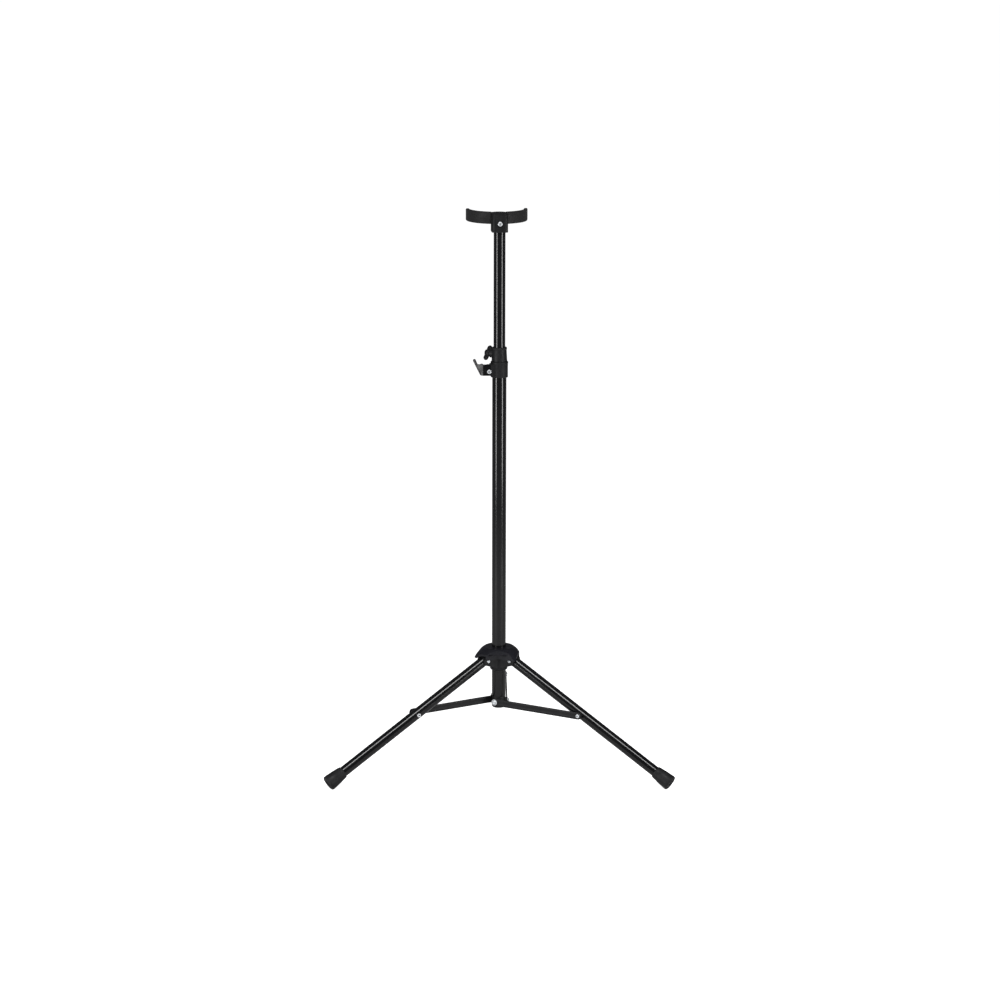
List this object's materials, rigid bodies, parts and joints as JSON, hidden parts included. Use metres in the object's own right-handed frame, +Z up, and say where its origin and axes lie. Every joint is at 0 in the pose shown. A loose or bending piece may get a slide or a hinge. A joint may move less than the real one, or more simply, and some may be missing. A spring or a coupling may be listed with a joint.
{
  "type": "saxophone stand",
  "caption": "Folding tripod floor stand for a saxophone, with a telescopic column, a hook collar and an open half-ring yoke.",
  "frame": {"origin": "on the floor, on the column's axis", "axes": "+Z up along the column, +Y over the rear leg and towards the yoke's open side, -Y towards the front"},
  "size_m": [0.616, 0.5369, 0.993],
  "materials": {
    "painted_tube": "gloss black paint",
    "painted_strap": "satin black paint",
    "moulded_plastic": "fine grained matt black",
    "dome_plastic": "satin black",
    "foot_rubber": "matt black",
    "sleeve_rubber": "grained matt dark grey",
    "bright_steel": "bright zinc",
    "nylon": "natural nylon"
  },
  "bodies": {
    "column": {"lower_tube": "painted_tube", "bottom_plug": "moulded_plastic", "brace_screws": "bright_steel", "brace_washers": "bright_steel", "clamp_collar": "moulded_plastic", "clamp_nut": "bright_steel"},
    "hub": {"hub_body": "moulded_plastic", "hub_cap": "dome_plastic", "hub_bush": "nylon", "hub_set_screw": "bright_steel", "hub_rivets": "bright_steel"},
    "mast_guide": {"guide_bush": "nylon"},
    "mast": {"upper_tube": "painted_tube", "t_piece": "moulded_plastic", "t_screw": "bright_steel", "yoke_core": "painted_strap", "yoke_sleeve_left": "sleeve_rubber", "yoke_sleeve_right": "sleeve_rubber", "yoke_rivets": "bright_steel"},
    "hook_guide": {"hook_liner": "nylon"},
    "hook": {"hook_collar": "moulded_plastic", "hook_plate": "painted_tube", "hook_screw": "bright_steel", "hook_nut": "bright_steel"},
    "pad": {"pressure_pad": "nylon"},
    "wing_screw": {"wing_knob": "moulded_plastic", "wing_stud": "bright_steel"},
    "leg_right": {"leg_right": "painted_tube", "leg_eye_right": "moulded_plastic", "foot_right": "foot_rubber", "leg_rivet_right": "bright_steel", "brace_spacer_right": "moulded_plastic"},
    "brace_right": {"brace_right": "painted_strap", "brace_rivet_right": "bright_steel"},
    "leg_left": {"leg_left": "painted_tube", "leg_eye_left": "moulded_plastic", "foot_left": "foot_rubber", "leg_rivet_left": "bright_steel", "brace_spacer_left": "moulded_plastic"},
    "brace_left": {"brace_left": "painted_strap", "brace_rivet_left": "bright_steel"},
    "leg_rear": {"leg_rear": "painted_tube", "leg_eye_rear": "moulded_plastic", "foot_rear": "foot_rubber", "leg_rivet_rear": "bright_steel", "brace_spacer_rear": "moulded_plastic"},
    "brace_rear": {"brace_rear": "painted_strap", "brace_rivet_rear": "bright_steel"}
  },
  "joints": [
    {"name": "hub_slide", "type": "slide", "parent": "column", "child": "hub", "axis": [0, 0, 1], "range_m": [0, 0.2493]},
    {"name": "leg_right_hinge", "type": "hinge", "parent": "hub", "child": "leg_right", "pos_m": [0.02468, -0.01425, 0.19042], "axis": [0.5, 0.866, 0], "range_deg": [0, 60.5]},
    {"name": "leg_left_hinge", "type": "hinge", "parent": "hub", "child": "leg_left", "pos_m": [-0.02468, -0.01425, 0.19042], "axis": [0.5, -0.866, 0], "range_deg": [0, 60.5]},
    {"name": "leg_rear_hinge", "type": "hinge", "parent": "hub", "child": "leg_rear", "pos_m": [0, 0.0285, 0.19042], "axis": [-1, 0, 0], "range_deg": [0, 60.5]},
    {"name": "brace_right_hinge", "type": "hinge", "parent": "column", "child": "brace_right", "pos_m": [0, 0, 0.11064], "axis": [-0.5, -0.866, 0], "range_deg": [0, 80.33]},
    {"name": "brace_left_hinge", "type": "hinge", "parent": "column", "child": "brace_left", "pos_m": [0, 0, 0.11064], "axis": [-0.5, 0.866, 0], "range_deg": [0, 80.33]},
    {"name": "brace_rear_hinge", "type": "hinge", "parent": "column", "child": "brace_rear", "pos_m": [0, 0, 0.11064], "axis": [1, 0, 0], "range_deg": [0, 80.33]},
    {"name": "height_slide", "type": "slide", "parent": "column", "child": "mast_guide", "axis": [0, 0, 1], "range_m": [-0.19, 0.11]},
    {"name": "mast_swivel", "type": "hinge", "parent": "mast_guide", "child": "mast", "pos_m": [0, 0, 0.56], "axis": [0, 0, 1], "continuous": true},
    {"name": "hook_slide", "type": "slide", "parent": "column", "child": "hook_guide", "axis": [0, 0, 1], "range_m": [-0.22, 0]},
    {"name": "hook_swivel", "type": "hinge", "parent": "hook_guide", "child": "hook", "pos_m": [0, 0, 0.717], "axis": [0, 0, 1], "continuous": true},
    {"name": "wing_turn", "type": "hinge", "parent": "pad", "child": "wing_screw", "pos_m": [-0.01141, 0.00557, 0.7445], "axis": [-0.8988, 0.4384, 0], "range_deg": [0, 720]},
    {"name": "pad_slide", "type": "slide", "parent": "column", "child": "pad", "axis": [-0.8988, 0.4384, 0], "range_m": [0, 0.0025]}
  ],
  "couplings": [
    {"joint": "leg_right_hinge", "follows": "hub_slide", "rad_per_m": 4.2355},
    {"joint": "leg_left_hinge", "follows": "hub_slide", "rad_per_m": 4.2355},
    {"joint": "leg_rear_hinge", "follows": "hub_slide", "rad_per_m": 4.2355},
    {"joint": "brace_right_hinge", "follows": "hub_slide", "rad_per_m": 5.6232},
    {"joint": "brace_left_hinge", "follows": "hub_slide", "rad_per_m": 5.6232},
    {"joint": "brace_rear_hinge", "follows": "hub_slide", "rad_per_m": 5.6232},
    {"joint": "pad_slide", "follows": "wing_turn", "m_per_rad": 0.00019894}
  ]
}
